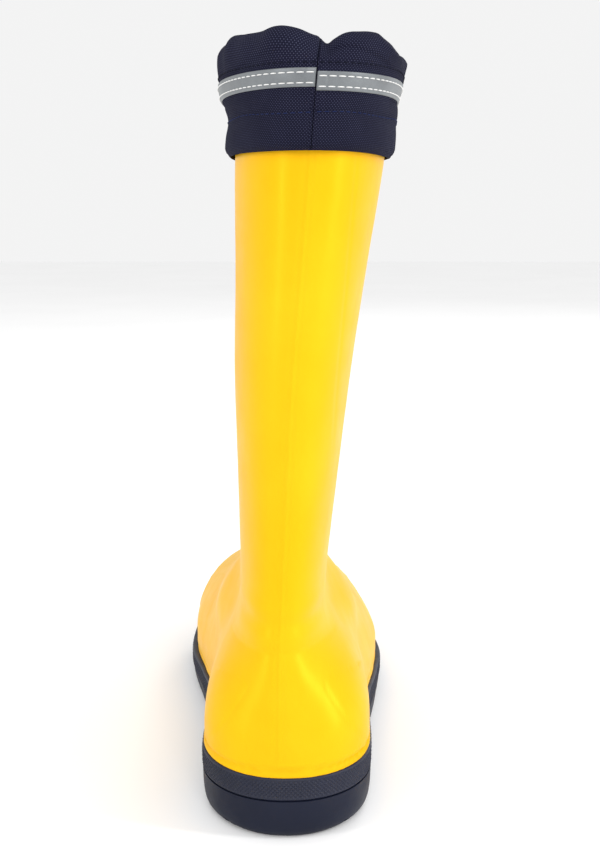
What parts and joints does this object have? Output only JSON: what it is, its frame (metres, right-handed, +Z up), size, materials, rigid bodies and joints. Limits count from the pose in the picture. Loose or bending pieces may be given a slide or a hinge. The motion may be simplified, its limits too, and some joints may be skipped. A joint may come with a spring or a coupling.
{
  "type": "deck boot",
  "caption": "Tall rubber deck boot for the right foot, with a textured sole band, a fold-up textile gaiter with a reflective tape, a lining and a removable footbed.",
  "frame": {"origin": "middle of the bounding box at the ground under the sole", "axes": "+Z up along the shaft, +Y towards the toe, +X towards the outer (little-toe) side of a right foot"},
  "size_m": [0.1158, 0.3079, 0.347],
  "materials": {
    "yellow_rubber": "satin",
    "navy_rubber": "satin",
    "navy_cloth": "matte",
    "lining_cloth": "matte",
    "board_fibre": "matte",
    "stiffener": "matte",
    "foam": "matte",
    "footbed_cloth": "matte",
    "binding_cloth": "matte",
    "reflective_grey": "satin",
    "white_thread": "matte",
    "blue_thread": "matte",
    "eyelet_metal": "satin"
  },
  "bodies": {
    "boot": {"outsole": "navy_rubber", "foxing_band": "navy_rubber", "boot_shell": "yellow_rubber", "toe_puff": "stiffener", "heel_counter": "stiffener", "lining_sock": "lining_cloth", "insole_board": "board_fibre", "shaft_rim_binding": "binding_cloth", "gaiter_underlayer": "navy_cloth", "attachment_stitches": "blue_thread"},
    "footbed": {"footbed_foam": "foam", "footbed_cover": "footbed_cloth"},
    "gaiter": {"gaiter_sleeve": "navy_cloth", "gaiter_hem": "navy_cloth", "gaiter_back_seam": "navy_cloth", "reflective_tape": "reflective_grey", "tape_stitches_lower": "white_thread", "tape_stitches_upper": "white_thread", "tuck_stitches": "blue_thread", "hem_stitches": "blue_thread", "hem_eyelets": "eyelet_metal"}
  },
  "joints": [
    {"name": "gaiter_raise", "type": "slide", "parent": "boot", "child": "gaiter", "axis": [0.0762, 0.0329, 0.9965], "range_m": [0, 0.058], "deforming": ["gaiter_underlayer"]},
    {"name": "footbed_lift", "type": "hinge", "parent": "boot", "child": "footbed", "pos_m": [-0.00789, 0.14395, 0.0245], "axis": [-1, 0, 0], "range_deg": [0, 3]}
  ]
}
